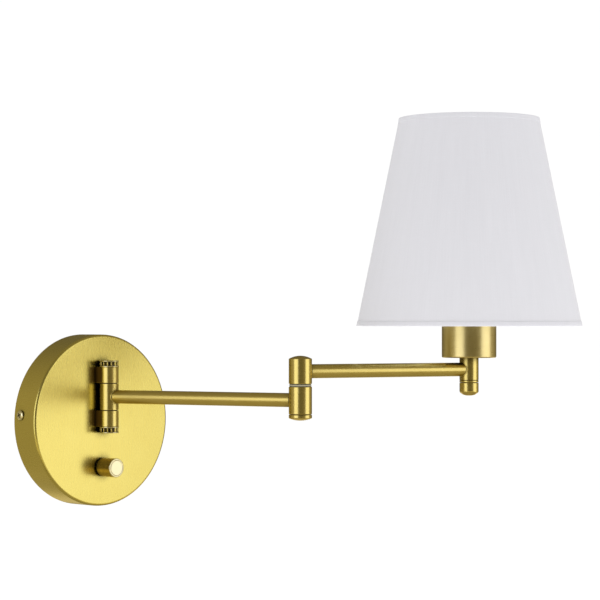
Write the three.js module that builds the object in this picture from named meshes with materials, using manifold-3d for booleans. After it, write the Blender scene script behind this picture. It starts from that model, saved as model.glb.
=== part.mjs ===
// Swing arm wall sconce: a round wall canopy with a dimmer knob, a two-part swing arm and an empire shade.
// Millimetres, +Z up. The origin is on the wall, at the canopy's middle, and the lamp stands out along -Y.
import * as THREE from "three";
import { mergeVertices } from "three/addons/utils/BufferGeometryUtils.js";
import Module from "manifold-3d";

const wasm = await Module();
wasm.setup();

// ---- driving dimensions

const runGap = 0.1; // radial running clearance of a pin in its hole
const seatGap = 0.15; // radial clearance of a piece fixed in a hole
const faceGap = 0.3; // clearance between pieces that lie against each other inside a turned arm

const canopy = { diameter: 127, depth: 24, wall: 1.2, edge: 1.6 };
const strap = { thickness: 2, width: 24, height: 5, tabWidth: 12, tabDepth: 14 };
const strapSlot = { at: 40, length: 14, width: 4.6 };
const sideScrew = { headDiameter: 7.2, headHeight: 1.5, diameter: 4, length: 7.5, fromWall: 7.5 };
const groundScrew = { at: 22, headDiameter: 8, headHeight: 2.2, diameter: 4 };
const terminal = { x: -32, z: -12, width: 24, height: 10, depth: 10, poles: 3, screwDiameter: 3.2 };

const tube = { diameter: 10, bore: 8 };
const armOne = { height: 17.6, length: 160, angle: 17.1 }; // angle from the wall's normal, towards +X
const armTwo = { height: 38, length: 140, angle: 72.8 };
const lead = { diameter: 2.2, bend: 3.3, drop: 2.2 };

const knuckle = { diameter: 14, standOff: 7.6, barrel: 19.6, lug: 11.8, pin: 8 };
const knuckleWasher = { diameter: 12, thickness: 0.4 };
const pivotCap = { diameter: 14.6, height: 4.8, flange: 1, coreDiameter: 11.6, roof: 1.6 };
const capRib = { count: 14, diameter: 1.5 };
const lugScrew = { diameter: 4, headDiameter: 7.2, headHeight: 2.4 };
const nipple = { diameter: 7.8, bore: 4.8, nutFlats: 11, nutHeight: 3 };

const elbow = { diameter: 16.4, ring: 1.9, upper: 17.7, dome: 2.2, lower: 19.5, cap: 4.4, capDome: 1.7 };
const elbowPivot = { diameter: 8, bore: 5, topWall: 4.9, cavity: 12.4 };
const elbowNut = { flats: 10, height: 2.4, spring: 0.6 };

const stem = { diameter: 14, bore: 10, below: 9.5, cap: 9.6, capDome: 3.2 };
const cup = { diameter: 40, height: 31.4, wall: 1.2, edge: 1.2, above: 8.6 };
const holder = { gap: 0.4, height: 39, floor: 7, capGap: 1 }; // gaps to the cup and to the bulb's cap
const holderNipple = { diameter: 9.6, bore: 6, nutFlats: 14, nutHeight: 3 };
const ringNut = { diameter: 50, height: 6.5, grips: 12 };
const fitter = { diameter: 56, thickness: 1.2, spokes: 3, spokeDiameter: 3 };
const bulb = { diameter: 60, length: 108, neckDiameter: 30, glass: 1 };
const bulbCap = { diameter: 25.8, length: 25, wall: 0.6 };
const holderDiameter = cup.diameter - 2 * (cup.wall + holder.gap);
const holderBore = bulbCap.diameter + 2 * holder.capGap;

const shade = { bottomDiameter: 165.6, topDiameter: 103.2, height: 152.5, bottom: 69.8, fabric: 0.9 };
const hoopWire = 2.4;

const knob = { diameter: 14, length: 15, gap: 1.3, z: -34.7, chamfer: 0.6 };
const knobRecess = { diameter: 12.4, depth: 3.2 };
const dimmer = { width: 24, height: 26, depth: 12, shaft: 6, washer: 0.5 };
const dimmerBush = { diameter: 7, length: 5.4, nutFlats: 10, nutHeight: 2 };

// Facets round a circle: the canopy and the shade, the brass barrels, and small holes and screws.
const [large, medium, small] = [48, 24, 12];

// ---- shape helpers

// A three.js geometry as a manifold-3d solid, turned right side out.
function solidOf(geometry) {
  const bare = geometry.index ? geometry.toNonIndexed() : geometry.clone();
  bare.deleteAttribute("normal");
  bare.deleteAttribute("uv");
  const merged = mergeVertices(bare, 1e-4);
  const corners = merged.index.array;
  const triangles = [];
  for (let i = 0; i < corners.length; i += 3) {
    const [a, b, c] = [corners[i], corners[i + 1], corners[i + 2]];
    if (a !== b && b !== c && c !== a) triangles.push(a, b, c);
  }
  const build = (list) =>
    new wasm.Manifold(
      new wasm.Mesh({
        numProp: 3,
        vertProperties: merged.attributes.position.array,
        triVerts: new Uint32Array(list),
      }),
    );
  const made = build(triangles);
  return made.volume() > 0 ? made : build(triangles.reverse());
}

function geometryOf(solid) {
  const mesh = solid.simplify(0.004).getMesh();
  const places = new Float32Array(mesh.numVert * 3);
  for (let i = 0; i < mesh.numVert; i++) {
    places.set(mesh.vertProperties.subarray(i * mesh.numProp, i * mesh.numProp + 3), i * 3);
  }
  return new THREE.BufferGeometry()
    .setAttribute("position", new THREE.BufferAttribute(places, 3))
    .setIndex(new THREE.BufferAttribute(mesh.triVerts, 1));
}

// A profile of [radius, height] pairs spun about +Z. It starts and ends on the axis, or is a closed ring.
function turned(profile, sides = medium) {
  const points = profile.map(([r, z]) => new THREE.Vector2(r, z));
  return solidOf(new THREE.LatheGeometry(points, sides).rotateX(Math.PI / 2));
}

function rod(diameter, low, high, sides = medium) {
  const r = diameter / 2;
  return turned([[0, low], [r, low], [r, high], [0, high]], sides);
}

function ring(outer, inner, low, high, sides = medium) {
  const [r, q] = [outer / 2, inner / 2];
  return turned([[q, low], [r, low], [r, high], [q, high], [q, low]], sides);
}

function block(x, y, z) {
  const box = new THREE.BoxGeometry(x[1] - x[0], y[1] - y[0], z[1] - z[0]);
  return solidOf(box.translate((x[0] + x[1]) / 2, (y[0] + y[1]) / 2, (z[0] + z[1]) / 2));
}

// An outline in X and Y, drawn upwards from low to high.
function prism(shape, low, high, curveSegments = 16) {
  const settings = { depth: high - low, bevelEnabled: false, curveSegments };
  return solidOf(new THREE.ExtrudeGeometry(shape, settings).translate(0, 0, low));
}

function hexPrism(flats, low, high) {
  return rod((flats * 2) / Math.sqrt(3), low, high, 6);
}

// A round lead of the given diameter along a curve.
function wire(curve, diameter, steps, sides = 6) {
  const section = new THREE.Shape().absarc(0, 0, diameter / 2, 0, Math.PI * 2);
  const settings = { steps, curveSegments: sides / 2, extrudePath: curve };
  return solidOf(new THREE.ExtrudeGeometry(section, settings));
}

const alongX = (solid) => solid.rotate([0, 90, 0]); // +Z becomes +X
const outOfWall = (solid) => solid.rotate([90, 0, 0]); // +Z becomes -Y

// A round dome from the edge radius at height low to the axis at height low + rise, as profile points.
function domeProfile(radius, low, rise, steps = 4) {
  const sphere = (radius ** 2 + rise ** 2) / (2 * rise);
  const centre = low + rise - sphere;
  return Array.from({ length: steps }, (_, i) => {
    const r = radius * (1 - (i + 1) / steps);
    return [r, centre + Math.sqrt(sphere ** 2 - r ** 2)];
  });
}

// A quarter-round edge profile that runs from [r, z] direction `from` to `to`, about a centre.
function arcProfile(r, z, size, from, to, steps = 3) {
  return Array.from({ length: steps + 1 }, (_, i) => {
    const a = THREE.MathUtils.degToRad(from + ((to - from) * i) / steps);
    return [r + size * Math.cos(a), z + size * Math.sin(a)];
  });
}

// A Phillips recess, to be cut out of a screw head whose top is at height top.
function crossRecess(size, top, depth) {
  const half = size / 2;
  const thin = size / 7;
  const bar = block([-half, half], [-thin, thin], [top - depth, top + 1]);
  return bar.add(bar.rotate([0, 0, 90]));
}

// ---- finishes

const satinBrass = { color: 0xc9a84f, roughness: 0.32, metalness: 1 };
const finishes = {
  brass: satinBrass,
  polishedBrass: { color: 0xe6d38a, roughness: 0.15, metalness: 1 },
  steel: { color: 0xb9bbbd, roughness: 0.35, metalness: 1 },
  greenSteel: { color: 0x3d7a4a, roughness: 0.5, metalness: 0.6 },
  nylon: { color: 0xd8d2bd, roughness: 0.5, metalness: 0 },
  phenolic: { color: 0x201f1e, roughness: 0.45, metalness: 0 },
  leadSleeve: { color: 0xe9e4d6, roughness: 0.6, metalness: 0 },
  fabric: { color: 0xf1f1f0, roughness: 0.85, metalness: 0 },
  whiteWire: { color: 0xe8e8e6, roughness: 0.5, metalness: 0 },
  frostedGlass: { color: 0xf7f6f2, roughness: 0.4, metalness: 0 },
};

function piece(group, name, finish, solid) {
  const mesh = new THREE.Mesh(geometryOf(solid), new THREE.MeshStandardMaterial(finishes[finish]));
  mesh.name = name;
  group.add(mesh);
}

// ---- wall side: strap, canopy and their screws

const canopyRadius = canopy.diameter / 2;
const canopyInner = canopyRadius - canopy.wall;
const faceInside = canopy.depth - canopy.wall; // distance of the face's inner side from the wall

function makeCanopy(group) {
  const { depth, edge, wall } = canopy;
  const inner = edge - wall;
  // In lathe space the wall is at height 0 and the face at height depth.
  let shell = turned([
    [canopyInner, 0],
    [canopyRadius, 0],
    ...arcProfile(canopyRadius - edge, depth - edge, edge, 0, 90, 3),
    [0, depth],
    [0, faceInside],
    ...arcProfile(canopyInner - inner, faceInside - inner, inner, 90, 0, 1),
    [canopyInner, 0],
  ], large);
  shell = outOfWall(shell);
  const drill = (diameter, z) => {
    const bit = rod(diameter, faceInside - 2, depth + 1, small);
    return outOfWall(bit).translate([0, 0, z]);
  };
  shell = shell.subtract(drill(lugScrew.diameter + 2 * seatGap, upperLugMiddle));
  shell = shell.subtract(drill(nipple.diameter + 2 * seatGap, lowerLugMiddle));
  shell = shell.subtract(drill(dimmerBush.diameter + 2 * seatGap, knob.z));
  const reach = canopyRadius + 2;
  const sideHole = alongX(rod(sideScrew.diameter + 2 * seatGap, -reach, reach, small));
  shell = shell.subtract(sideHole.translate([0, -sideScrew.fromWall, strap.height]));
  piece(group, "canopy", "brass", shell);
}

const tabOuter = Math.sqrt(canopyInner ** 2 - (strap.height + strap.tabWidth / 2) ** 2) - faceGap;
const strapEnd = Math.sqrt(canopyInner ** 2 - (strap.height + strap.width / 2) ** 2) - 1.4;

function makeStrap(group) {
  const { thickness, width, height, tabWidth, tabDepth } = strap;
  const slotEnds = (strapSlot.length - strapSlot.width) / 2;
  const slot = new THREE.Shape()
    .absarc(slotEnds, 0, strapSlot.width / 2, -Math.PI / 2, Math.PI / 2)
    .absarc(-slotEnds, 0, strapSlot.width / 2, Math.PI / 2, (Math.PI * 3) / 2);
  const slotCut = outOfWall(prism(slot, -1, thickness + 1, 6));
  let bar = block([-strapEnd, strapEnd], [-thickness, 0], [height - width / 2, height + width / 2]);
  for (const side of [-1, 1]) {
    const spanOf = (a, b) => (side > 0 ? [a, b] : [-b, -a]);
    const z = [height - tabWidth / 2, height + tabWidth / 2];
    bar = bar.add(block(spanOf(strapEnd - 1, tabOuter), [-thickness, 0], z));
    bar = bar.add(block(spanOf(tabOuter - thickness, tabOuter), [-tabDepth, 0], z));
    bar = bar.subtract(slotCut.translate([side * strapSlot.at, 0, height]));
  }
  const tapped = alongX(rod(sideScrew.diameter + 2 * seatGap, -canopyRadius, canopyRadius, small));
  bar = bar.subtract(tapped.translate([0, -sideScrew.fromWall, height]));
  const earth = outOfWall(rod(groundScrew.diameter + 2 * seatGap, -1, thickness + 1, small));
  bar = bar.subtract(earth.translate([groundScrew.at, 0, height]));
  piece(group, "wall_strap", "steel", bar);
}

// A screw whose head stands on height 0 and whose shank reaches down.
function panScrew(headDiameter, headHeight, diameter, length) {
  const r = headDiameter / 2;
  const dome = headHeight * 0.55;
  const body = turned([
    [0, -length],
    [diameter / 2, -length],
    [diameter / 2, 0],
    [r, 0],
    [r, headHeight - dome],
    ...domeProfile(r, headHeight - dome, dome, 3),
  ], small);
  return body.subtract(crossRecess(headDiameter * 0.55, headHeight, headHeight * 0.6));
}

function makeStrapScrews(group) {
  const { headDiameter, headHeight, diameter, length, fromWall } = sideScrew;
  const seat = canopyRadius + 0.05;
  for (const [side, name] of [[-1, "left"], [1, "right"]]) {
    const screw = panScrew(headDiameter, headHeight, diameter, length).rotate([0, side * 90, 0]);
    const placed = screw.translate([side * seat, -fromWall, strap.height]);
    piece(group, `canopy_screw_${name}`, "polishedBrass", placed);
  }
  const shank = strap.thickness - 0.3;
  const earth = panScrew(groundScrew.headDiameter, groundScrew.headHeight, groundScrew.diameter, shank);
  const seated = outOfWall(earth).translate([groundScrew.at, -strap.thickness, strap.height]);
  piece(group, "ground_screw", "greenSteel", seated);
}

// ---- wall knuckle

const pivotY = -(canopy.depth + knuckle.standOff);
const barrelLow = armOne.height - knuckle.barrel / 2;
const barrelHigh = armOne.height + knuckle.barrel / 2;
const lowerLugTop = barrelLow - knuckleWasher.thickness;
const upperLugBottom = barrelHigh + knuckleWasher.thickness;
const lowerLugMiddle = lowerLugTop - knuckle.lug / 2;
const upperLugMiddle = upperLugBottom + knuckle.lug / 2;
const pinReach = (knuckle.barrel - tube.diameter) / 2 - 0.6; // how far each pin enters the barrel

// The lug's plan: round about the pivot, with straight sides back to the canopy's face.
function lugSolid(low, high) {
  const r = knuckle.diameter / 2;
  const plan = new THREE.Shape().absarc(0, 0, r, Math.PI, Math.PI * 2);
  plan.lineTo(r, knuckle.standOff).lineTo(-r, knuckle.standOff).closePath();
  const bore = rod(knuckle.pin + 2 * seatGap, low - 1, high + 1);
  return prism(plan, low, high, 14).subtract(bore);
}

function makeLugs(group) {
  const upperHole = outOfWall(rod(lugScrew.diameter + 2 * seatGap, -knuckle.standOff - 1, 0, small));
  const upper = lugSolid(upperLugBottom, upperLugBottom + knuckle.lug);
  const drilledUpper = upper.subtract(upperHole.translate([0, 0, upperLugMiddle]));
  piece(group, "upper_lug", "brass", drilledUpper.translate([0, pivotY, 0]));

  const lowerHole = outOfWall(rod(nipple.diameter + 2 * seatGap, -knuckle.standOff - 1, 0, small));
  const lower = lugSolid(lowerLugTop - knuckle.lug, lowerLugTop);
  const drilledLower = lower.subtract(lowerHole.translate([0, 0, lowerLugMiddle]));
  piece(group, "lower_lug", "brass", drilledLower.translate([0, pivotY, 0]));
}

function makeLugFixings(group) {
  const reach = knuckle.standOff - knuckle.pin / 2 - faceGap; // from the canopy's face to the pin
  const length = reach + canopy.wall;
  const upright = panScrew(lugScrew.headDiameter, lugScrew.headHeight, lugScrew.diameter, length);
  const screw = outOfWall(upright.rotate([180, 0, 0]));
  piece(group, "lug_screw", "steel", screw.translate([0, -faceInside, upperLugMiddle]));

  const pipe = outOfWall(ring(nipple.diameter, nipple.bore, faceInside - 7, canopy.depth + reach, small));
  piece(group, "wire_nipple", "steel", pipe.translate([0, 0, lowerLugMiddle]));
  const nut = hexPrism(nipple.nutFlats, faceInside - nipple.nutHeight, faceInside);
  const threaded = nut.subtract(rod(nipple.diameter + 2 * seatGap, 0, canopy.depth, small));
  piece(group, "nipple_nut", "steel", outOfWall(threaded).translate([0, 0, lowerLugMiddle]));
}

function makePivotPins(group) {
  const capBore = pivotCap.height - pivotCap.roof;
  const upper = rod(knuckle.pin, barrelHigh - pinReach, upperLugBottom + knuckle.lug + capBore - 0.2);
  piece(group, "upper_pivot_pin", "steel", upper.translate([0, pivotY, 0]));

  const low = lowerLugTop - knuckle.lug - capBore + 0.2;
  const high = barrelLow + pinReach;
  let lower = rod(knuckle.pin, low, high);
  lower = lower.subtract(rod(nipple.bore, lowerLugMiddle - 3, high + 1, small));
  const window = outOfWall(rod(nipple.bore, -knuckle.pin, 0, small)).translate([0, 0, lowerLugMiddle]);
  piece(group, "lower_pivot_pin", "steel", lower.subtract(window).translate([0, pivotY, 0]));
}

// A ribbed cap nut: two thin flanges with upright ribs between them. It opens downwards.
function ribbedCap() {
  const { diameter, height, flange, coreDiameter, roof } = pivotCap;
  const [outer, core] = [diameter / 2, coreDiameter / 2];
  let cap = turned([
    [0, 0],
    [outer, 0],
    [outer, flange],
    [core, flange],
    [core, height - flange],
    [outer - 0.2, height - flange],
    [outer - 0.2, height - 0.3],
    [outer - 0.6, height],
    [0, height],
  ]);
  for (let i = 0; i < capRib.count; i++) {
    const rib = rod(capRib.diameter, flange / 2, height - flange / 2, 5);
    cap = cap.add(rib.translate([core + 0.3, 0, 0]).rotate([0, 0, (360 * i) / capRib.count]));
  }
  return cap.subtract(rod(knuckle.pin + 2 * seatGap, -1, height - roof));
}

function makePivotCaps(group) {
  const top = upperLugBottom + knuckle.lug;
  const bottom = lowerLugTop - knuckle.lug;
  piece(group, "upper_pivot_cap", "brass", ribbedCap().translate([0, pivotY, top]));
  piece(group, "lower_pivot_cap", "brass", ribbedCap().rotate([180, 0, 0]).translate([0, pivotY, bottom]));
  for (const [name, low] of [["upper", barrelHigh], ["lower", lowerLugTop]]) {
    const high = low + knuckleWasher.thickness;
    const washer = ring(knuckleWasher.diameter, knuckle.pin + 2 * runGap, low, high);
    piece(group, `${name}_knuckle_washer`, "nylon", washer.translate([0, pivotY, 0]));
  }
}

// ---- dimmer and terminal block

function makeDimmer(group) {
  const { width, height, depth, shaft, washer } = dimmer;
  const tapping = dimmerBush.diameter + 2 * seatGap;
  const back = faceInside - faceGap - depth;
  const bushEnd = faceInside + dimmerBush.length;
  const nutLow = canopy.depth + washer;
  const nutHigh = nutLow + dimmerBush.nutHeight;
  const place = (solid) => outOfWall(solid).translate([0, 0, knob.z]);

  const box = block([-width / 2, width / 2], [-height / 2, height / 2], [back, back + depth]);
  const bushed = box.add(rod(dimmerBush.diameter, back + depth - 1, bushEnd, small));
  const bored = bushed.subtract(rod(shaft + 2 * runGap, back + 3, bushEnd + 1));
  piece(group, "dimmer_body", "phenolic", place(bored));
  piece(group, "dimmer_washer", "steel", place(ring(11, tapping, canopy.depth, nutLow, small)));
  const nut = hexPrism(dimmerBush.nutFlats, nutLow, nutHigh).subtract(rod(tapping, 0, nutHigh + 1, small));
  piece(group, "dimmer_nut", "steel", place(nut));

  const knobBack = canopy.depth + knob.gap;
  const knobFront = knobBack + knob.length;
  const shaftEnd = knobFront - 2;
  piece(group, "dimmer_shaft", "steel", place(rod(shaft, back + 3.3, shaftEnd)));

  const [r, c] = [knob.diameter / 2, knob.chamfer];
  let grip = turned([[0, knobBack], [r, knobBack], [r, knobFront - c], [r - c, knobFront], [0, knobFront]]);
  grip = grip.subtract(rod(knobRecess.diameter, knobBack - 1, knobBack + knobRecess.depth));
  grip = grip.subtract(rod(shaft + 2 * seatGap, knobBack - 1, shaftEnd + 0.2));
  piece(group, "dimmer_knob", "brass", place(grip));
}

const terminalBack = faceInside - faceGap - terminal.depth; // the block's free side, towards the wall

function makeTerminal(group) {
  const { x, z, width, height, depth, poles, screwDiameter } = terminal;
  const wellFloor = terminalBack + 5;
  const place = (solid) => outOfWall(solid).translate([x, 0, z]);
  const terminalFront = terminalBack + depth;
  let body = block([-width / 2, width / 2], [-height / 2, height / 2], [terminalBack, terminalFront]);
  for (let i = 0; i < poles; i++) {
    const at = ((i - (poles - 1) / 2) * width) / poles;
    const well = rod(screwDiameter + 0.8, terminalBack - 1, wellFloor, small);
    body = body.subtract(well.translate([at, 0, 0]));
    const slot = block([-screwDiameter, screwDiameter], [-0.35, 0.35], [terminalBack, terminalBack + 2.3]);
    const screw = rod(screwDiameter, terminalBack + 1.5, wellFloor - faceGap, small).subtract(slot);
    piece(group, `terminal_screw_${i + 1}`, "steel", place(screw.translate([at, 0, 0])));
  }
  piece(group, "terminal_block", "nylon", place(body));
}

function makeCanopyLeads(group) {
  const z = lowerLugMiddle;
  const top = terminal.z + terminal.height / 2 + faceGap;
  const mid = -(terminalBack + terminal.depth / 2);
  const start = terminal.x + terminal.width / 3;
  const route = new THREE.CatmullRomCurve3([
    new THREE.Vector3(start, mid, top),
    new THREE.Vector3(start, mid, top + 3),
    new THREE.Vector3(start + 4, mid + 4, z + 0.5),
    new THREE.Vector3(start + 13, mid + 8, z),
    new THREE.Vector3(-4, mid + 7, z),
    new THREE.Vector3(0, mid + 2, z),
    new THREE.Vector3(0, -faceInside, z),
    new THREE.Vector3(0, pivotY + 5, z),
    new THREE.Vector3(0, pivotY + 1.6, z + 0.2),
    new THREE.Vector3(0, pivotY, z + 2.2),
    new THREE.Vector3(0, pivotY, barrelLow + pinReach - 1),
  ]);
  piece(group, "lamp_lead_canopy", "leadSleeve", wire(route, lead.diameter, 32));

  const bottom = terminal.z - terminal.height / 2 - faceGap;
  const side = -dimmer.width / 2 - faceGap;
  const dimmerRoute = new THREE.CatmullRomCurve3([
    new THREE.Vector3(terminal.x, mid, bottom),
    new THREE.Vector3(terminal.x, mid, bottom - 5),
    new THREE.Vector3(terminal.x + 5, mid, knob.z + 1),
    new THREE.Vector3(side - 5, mid, knob.z),
    new THREE.Vector3(side, mid, knob.z),
  ]);
  piece(group, "dimmer_lead", "leadSleeve", wire(dimmerRoute, lead.diameter, 14));
}

// ---- arm one, in a frame with +X along the arm

// An arm tube between two upright barrels, its ends shaped to the barrels' bores.
function armTube(length, startBore, endBore) {
  const pipe = alongX(ring(tube.diameter, tube.bore, 0, length));
  const cope = (bore, x) => rod(bore, -tube.diameter, tube.diameter).translate([x, 0, 0]);
  const near = block([-1, startBore / 4], [-9, 9], [-9, 9]);
  const far = block([length - endBore / 4, length + 1], [-9, 9], [-9, 9]);
  return pipe.subtract(near).subtract(far).subtract(cope(startBore, 0)).subtract(cope(endBore, length));
}

// A lead that climbs from height start on the near pivot, runs along the tube and climbs to height end.
function armLead(start, length, end) {
  const run = -lead.drop;
  const point = (x, z) => new THREE.Vector3(x, 0, z);
  const route = new THREE.CurvePath();
  const [nearLow, nearBend] = [point(0, run - lead.bend), point(lead.bend, run)];
  const [farBend, farHigh] = [point(length - lead.bend, run), point(length, run + lead.bend)];
  route.add(new THREE.LineCurve3(point(0, start), nearLow));
  route.add(new THREE.QuadraticBezierCurve3(nearLow, point(0, run), nearBend));
  route.add(new THREE.LineCurve3(nearBend, farBend));
  route.add(new THREE.QuadraticBezierCurve3(farBend, point(length, run), farHigh));
  route.add(new THREE.LineCurve3(farHigh, point(length, end)));
  return wire(route, lead.diameter, 40);
}

// The side hole that an arm tube seats in, from a barrel's axis outwards along +X or -X.
function tubeSocket(direction) {
  const hole = alongX(rod(tube.diameter + 2 * seatGap, 0, 12));
  return direction > 0 ? hole : hole.rotate([0, 0, 180]);
}

// Heights from arm one's axis: the upper barrel's underside, and the top and bottom of the lower barrel.
const elbowBase = armTwo.height - elbow.upper / 2 - armOne.height;
const ringLow = elbowBase - elbow.ring;
const elbowLow = ringLow - elbow.lower;

function makeArmOne(group) {
  const half = knuckle.barrel / 2;
  const barrel = ring(knuckle.diameter, knuckle.pin + 2 * runGap, -half, half).subtract(tubeSocket(1));
  piece(group, "knuckle_barrel", "brass", barrel);

  const cavity = elbowPivot.cavity;
  const pipe = armTube(armOne.length, knuckle.pin + 2 * faceGap, cavity + faceGap);
  piece(group, "arm_one_tube", "brass", pipe);

  let lower = rod(elbow.diameter, elbowLow, ringLow);
  lower = lower.subtract(rod(cavity, elbowLow - 1, ringLow - elbowPivot.topWall));
  lower = lower.subtract(rod(elbowPivot.diameter + 2 * runGap, elbowLow, ringLow + 1));
  lower = lower.subtract(tubeSocket(-1));
  piece(group, "elbow_lower_barrel", "brass", lower.translate([armOne.length, 0, 0]));

  const r = elbow.diameter / 2;
  const capTop = elbowLow - 0.1;
  const shoulder = capTop - (elbow.cap - elbow.capDome);
  const neck = cavity / 2 - seatGap;
  const dome = domeProfile(r, 0, elbow.capDome).map(([x, rise]) => [x, shoulder - rise]);
  const cap = turned([
    [0, capTop + 3],
    [neck, capTop + 3],
    [neck, capTop],
    [r, capTop],
    [r, shoulder],
    ...dome,
  ]);
  piece(group, "elbow_bottom_cap", "brass", cap.translate([armOne.length, 0, 0]));

  const start = pinReach - knuckle.barrel / 2 - 0.7;
  piece(group, "lamp_lead_arm_one", "leadSleeve", armLead(start, armOne.length, 1.4));
}

// ---- arm two, in a frame with +X along the arm

function makeElbowTop(group) {
  const below = -elbow.upper / 2; // underside of the upper barrel
  const r = elbow.diameter / 2;
  const shoulder = elbow.upper / 2;
  let upper = turned([[0, below], [r, below], [r, shoulder], ...domeProfile(r, shoulder, elbow.dome)]);
  upper = upper.subtract(rod(elbowPivot.diameter + 2 * seatGap, below - 1, -tube.diameter / 2 + 1));
  upper = upper.subtract(rod(tube.diameter + 1.2, -tube.diameter / 2, tube.diameter / 2 + 0.8));
  piece(group, "elbow_upper_barrel", "brass", upper.subtract(tubeSocket(1)));

  const washer = ring(elbow.diameter - 0.2, elbowPivot.diameter + 2 * runGap, below - elbow.ring, below);
  piece(group, "elbow_ring", "nylon", washer);

  const lowerTop = below - elbow.ring;
  const ceiling = lowerTop - elbowPivot.topWall; // inner roof of the lower barrel
  const nutTop = ceiling - elbowNut.spring - 0.2;
  const nutLow = nutTop - elbowNut.height;
  const pivot = ring(elbowPivot.diameter, elbowPivot.bore, nutLow - 0.8, -tube.diameter / 2 - 0.3);
  piece(group, "elbow_pivot", "steel", pivot);
  const hole = elbowPivot.diameter + 2 * seatGap;
  const springTop = ceiling - 0.1;
  const springLow = springTop - elbowNut.spring;
  piece(group, "elbow_spring_washer", "steel", ring(11.4, hole, springLow, springTop, small));
  const nut = hexPrism(elbowNut.flats, nutLow, nutTop).subtract(rod(hole, nutLow - 1, nutTop + 1, small));
  piece(group, "elbow_nut", "steel", nut);
}

const stemTop = cup.above; // the cup's underside, above arm two's axis
const capSeam = -stem.below;

function makeStem(group) {
  const x = armTwo.length;
  let barrel = ring(stem.diameter, stem.bore, capSeam, stemTop).subtract(tubeSocket(-1));
  barrel = barrel.translate([x, 0, 0]);
  piece(group, "stem_barrel", "brass", barrel);

  const pipe = armTube(x, tube.diameter + 1.2 + faceGap, stem.bore + faceGap);
  piece(group, "arm_two_tube", "brass", pipe);

  const r = stem.diameter / 2;
  const top = capSeam - 0.2;
  const shoulder = top - (stem.cap - stem.capDome);
  const neck = stem.bore / 2 - seatGap;
  const flat = 2.2;
  const rounded = arcProfile(r - stem.capDome, shoulder, stem.capDome, 0, -80, 4);
  const cap = turned([
    [0, top + 4],
    [neck, top + 4],
    [neck, top],
    [r, top],
    ...rounded,
    [flat, top - stem.cap],
    [0, top - stem.cap],
  ]);
  piece(group, "stem_cap", "brass", cap.translate([x, 0, 0]));
}

function makeHolder(group) {
  const x = armTwo.length;
  const [R, w, e] = [cup.diameter / 2, cup.wall, cup.edge];
  const top = stemTop + cup.height;
  let shell = turned([
    [0, stemTop],
    [R - e, stemTop],
    [R, stemTop + e],
    [R, top],
    [R - w, top],
    [R - w, stemTop + w + 0.4],
    [R - w - 0.4, stemTop + w],
    [0, stemTop + w],
  ], 40);
  shell = shell.subtract(rod(holderNipple.diameter + 2 * seatGap, stemTop - 1, stemTop + 3, small));
  piece(group, "socket_cup", "brass", shell.translate([x, 0, 0]));

  const base = stemTop + w + holderNipple.nutHeight + 0.2; // underside of the lampholder
  const pipe = ring(holderNipple.diameter, holderNipple.bore, 2, base + 3.5, small);
  piece(group, "holder_nipple", "steel", pipe.translate([x, 0, 0]));
  const nut = hexPrism(holderNipple.nutFlats, stemTop + w, base - 0.2);
  const bored = nut.subtract(rod(holderNipple.diameter + 2 * seatGap, stemTop, base + 1, small));
  piece(group, "holder_nut", "steel", bored.translate([x, 0, 0]));

  const rim = base + holder.height;
  const floor = base + holder.floor;
  let body = rod(holderDiameter, base, rim);
  body = body.subtract(rod(holderBore, floor, rim + 1));
  body = body.subtract(rod(holderNipple.diameter + 2 * seatGap, base - 1, base + 4, small));
  piece(group, "lampholder", "phenolic", body.translate([x, 0, 0]));

  const sleeve = holderBore - 2 * seatGap;
  const screwShell = ring(sleeve, sleeve - 1.2, floor + 1.5, rim - 5);
  piece(group, "screw_shell", "polishedBrass", screwShell.translate([x, 0, 0]));
  const contact = rod(6, floor + 0.05, floor + 1.6, small);
  piece(group, "centre_contact", "polishedBrass", contact.translate([x, 0, 0]));
  return { rim, floor, cupTop: top };
}

function makeShadeFixing(group, { cupTop }) {
  const x = armTwo.length;
  const seat = cupTop + 0.1;
  const plate = seat + fitter.thickness;
  const washer = ring(fitter.diameter, holderDiameter + 2 * seatGap, seat, plate);
  piece(group, "shade_fitter_ring", "whiteWire", washer.translate([x, 0, 0]));

  const { diameter, height, grips } = ringNut;
  const low = plate + 0.1;
  let nut = ring(diameter, holderDiameter + 2 * seatGap, low, low + height);
  for (let i = 0; i < grips; i++) {
    const notch = rod(4, low - 1, low + height + 1, 6).translate([diameter / 2 + 0.8, 0, 0]);
    nut = nut.subtract(notch.rotate([0, 0, (360 * i) / grips]));
  }
  piece(group, "shade_ring_nut", "phenolic", nut.translate([x, 0, 0]));
  return seat;
}

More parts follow.
